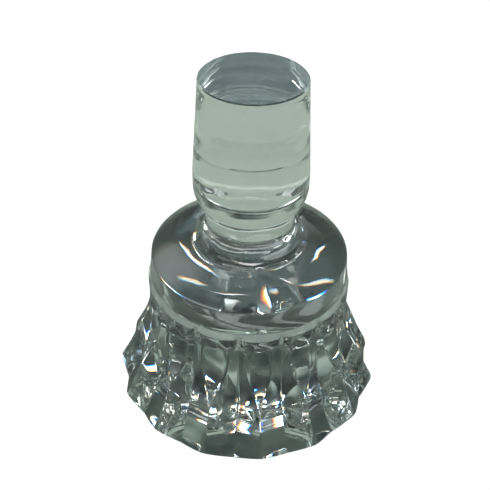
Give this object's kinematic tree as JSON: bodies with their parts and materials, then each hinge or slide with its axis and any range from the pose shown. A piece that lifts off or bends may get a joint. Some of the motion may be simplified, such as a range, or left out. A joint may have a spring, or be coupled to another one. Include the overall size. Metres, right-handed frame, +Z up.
{
  "type": "glass decanter stopper",
  "caption": "Solid cut-glass piece: flared base with mitre grooves, plain band and domed shoulder, short neck and tapered ground peg; stands on its flat base.",
  "frame": {"origin": "centre of the flat face that the piece stands on", "axes": "+Z up along the common axis of all four gathers, from the flat base to the end of the peg; -Y towards the groove nearest the front, which is turned 5 degrees from it"},
  "size_m": [0.0658, 0.066, 0.084],
  "materials": {
    "base_glass": "polished, cut with mitre grooves",
    "stem_glass": "fire polished",
    "peg_glass": "ground to a taper and polished"
  },
  "bodies": {
    "root": {"cut_base": "base_glass", "foot_ring": "stem_glass", "neck": "stem_glass", "peg": "peg_glass"}
  },
  "joints": []
}
